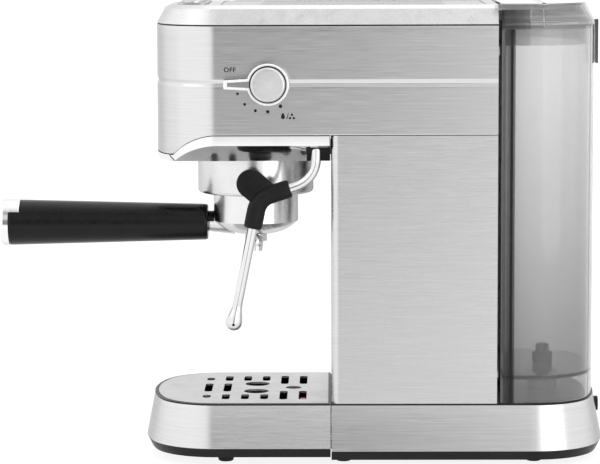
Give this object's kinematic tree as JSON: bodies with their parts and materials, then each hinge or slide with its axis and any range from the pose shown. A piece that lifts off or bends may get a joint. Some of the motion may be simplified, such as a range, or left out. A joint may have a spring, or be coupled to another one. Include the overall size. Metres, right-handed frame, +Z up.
{
  "type": "espresso machine",
  "caption": "Slim pump espresso machine with a lever portafilter, steam wand and knob, lift-out water tank and drip tray.",
  "frame": {"origin": "on the floor between the feet, midway between the front and rear tips of the base", "axes": "+Z up, -Y towards the user (the portafilter handle points to -Y), +X to the user's right (steam knob and wand)"},
  "size_m": [0.1497, 0.4135, 0.3112],
  "materials": {
    "plastic_black": "fine satin",
    "rubber_black": "matt",
    "steel_brushed": "brushed along the sides",
    "steel_polished": "mirror polish",
    "steel_plated": "zinc plated",
    "cap_silver": "fine satin silver",
    "board_green": "solder mask",
    "cast_aluminium": "cast, unpolished",
    "brass_plain": "turned",
    "pump_grey": "moulded",
    "hose_silicone": "matt",
    "handle_black": "satin",
    "knob_satin": "satin",
    "grip_silicone": "ribbed",
    "button_silver": "satin silver",
    "plastic_red": "smooth",
    "tank_smoke": "clear smoke tint"
  },
  "bodies": {
    "machine": {"base_pan": "plastic_black", "base_feet": "rubber_black", "base_shell": "steel_brushed", "base_deck": "plastic_black", "cord_gland": "rubber_black", "column_skin": "steel_brushed", "back_panel": "plastic_black", "case_screws": "steel_plated", "chassis": "steel_plated", "head_skin": "steel_brushed", "head_bottom": "steel_polished", "wand_socket": "plastic_black", "top_gasket": "rubber_black", "top_cap": "cap_silver", "cup_plate": "steel_brushed", "control_panel": "plastic_black", "circuit_board": "board_green", "group_ring": "steel_polished", "group_head": "cast_aluminium", "group_gasket": "rubber_black", "shower_screen": "steel_brushed", "screen_screw": "steel_plated", "thermoblock": "cast_aluminium", "thermoblock_bolts": "steel_plated", "steam_valve": "brass_plain", "steam_pipe": "brass_plain", "pump": "pump_grey", "pump_pads": "rubber_black", "pump_bracket": "steel_plated", "inlet_hose": "hose_silicone", "pressure_hose": "hose_silicone", "tank_port": "plastic_black", "port_seal": "rubber_black"},
    "portafilter": {"portafilter_cup": "steel_polished", "filter_basket": "steel_brushed", "basket_spring": "steel_plated", "spout": "plastic_black", "handle": "handle_black", "handle_cap": "steel_polished", "handle_stud": "steel_plated"},
    "steam_knob": {"knob_body": "steel_polished", "knob_disc": "knob_satin", "valve_stem": "brass_plain"},
    "steam_wand": {"wand_pipe": "steel_polished", "wand_grip": "grip_silicone", "wand_tip": "steel_polished"},
    "button_single": {"button_single": "button_silver"},
    "button_double": {"button_double": "button_silver"},
    "button_steam": {"button_steam": "button_silver"},
    "drip_tray": {"tray_basin": "plastic_black", "tray_shell": "steel_brushed", "tray_feet": "rubber_black"},
    "drip_plate": {"drip_plate": "steel_polished"},
    "tray_float": {"tray_float": "plastic_red"},
    "water_tank": {"tank_body": "tank_smoke", "tank_filter": "plastic_black", "tank_top": "tank_smoke", "lid_pins": "steel_plated"},
    "tank_lid": {"tank_lid": "tank_smoke"},
    "tank_valve": {"tank_valve": "plastic_black"}
  },
  "joints": [
    {"name": "portafilter_lock", "type": "hinge", "parent": "machine", "child": "portafilter", "pos_m": [0, -0.081, 0.185], "axis": [0, 0, 1], "range_deg": [-45, 0]},
    {"name": "steam_knob_turn", "type": "hinge", "parent": "machine", "child": "steam_knob", "pos_m": [0.0646, -0.0707, 0.2575], "axis": [1, 0, 0], "range_deg": [0, 121]},
    {"name": "steam_wand_swing", "type": "hinge", "parent": "machine", "child": "steam_wand", "pos_m": [0.057, -0.039, 0.21], "axis": [0, 0, 1], "range_deg": [0, 80]},
    {"name": "button_single_press", "type": "slide", "parent": "machine", "child": "button_single", "axis": [0, 0, -1], "range_m": [0, 0.001], "stiffness_N_per_m": 400, "springref_m": -0.001},
    {"name": "button_double_press", "type": "slide", "parent": "machine", "child": "button_double", "axis": [0, 0, -1], "range_m": [0, 0.001], "stiffness_N_per_m": 400, "springref_m": -0.001},
    {"name": "button_steam_press", "type": "slide", "parent": "machine", "child": "button_steam", "axis": [0, 0, -1], "range_m": [0, 0.001], "stiffness_N_per_m": 400, "springref_m": -0.001},
    {"name": "drip_tray_slide", "type": "slide", "parent": "machine", "child": "drip_tray", "axis": [0, -1, 0], "range_m": [0, 0.125]},
    {"name": "drip_plate_lift", "type": "slide", "parent": "drip_tray", "child": "drip_plate", "axis": [0, 0, 1], "range_m": [0, 0.03]},
    {"name": "float_rise", "type": "slide", "parent": "drip_tray", "child": "tray_float", "axis": [0, 0, 1], "range_m": [0, 0.008]},
    {"name": "tank_lift", "type": "slide", "parent": "machine", "child": "water_tank", "axis": [0, 0, 1], "range_m": [0, 0.15]},
    {"name": "lid_hinge", "type": "hinge", "parent": "water_tank", "child": "tank_lid", "pos_m": [0, 0.112, 0.308], "axis": [1, 0, 0], "range_deg": [0, 100]},
    {"name": "valve_lift", "type": "slide", "parent": "water_tank", "child": "tank_valve", "axis": [0, 0, 1], "range_m": [0, 0.002]}
  ]
}
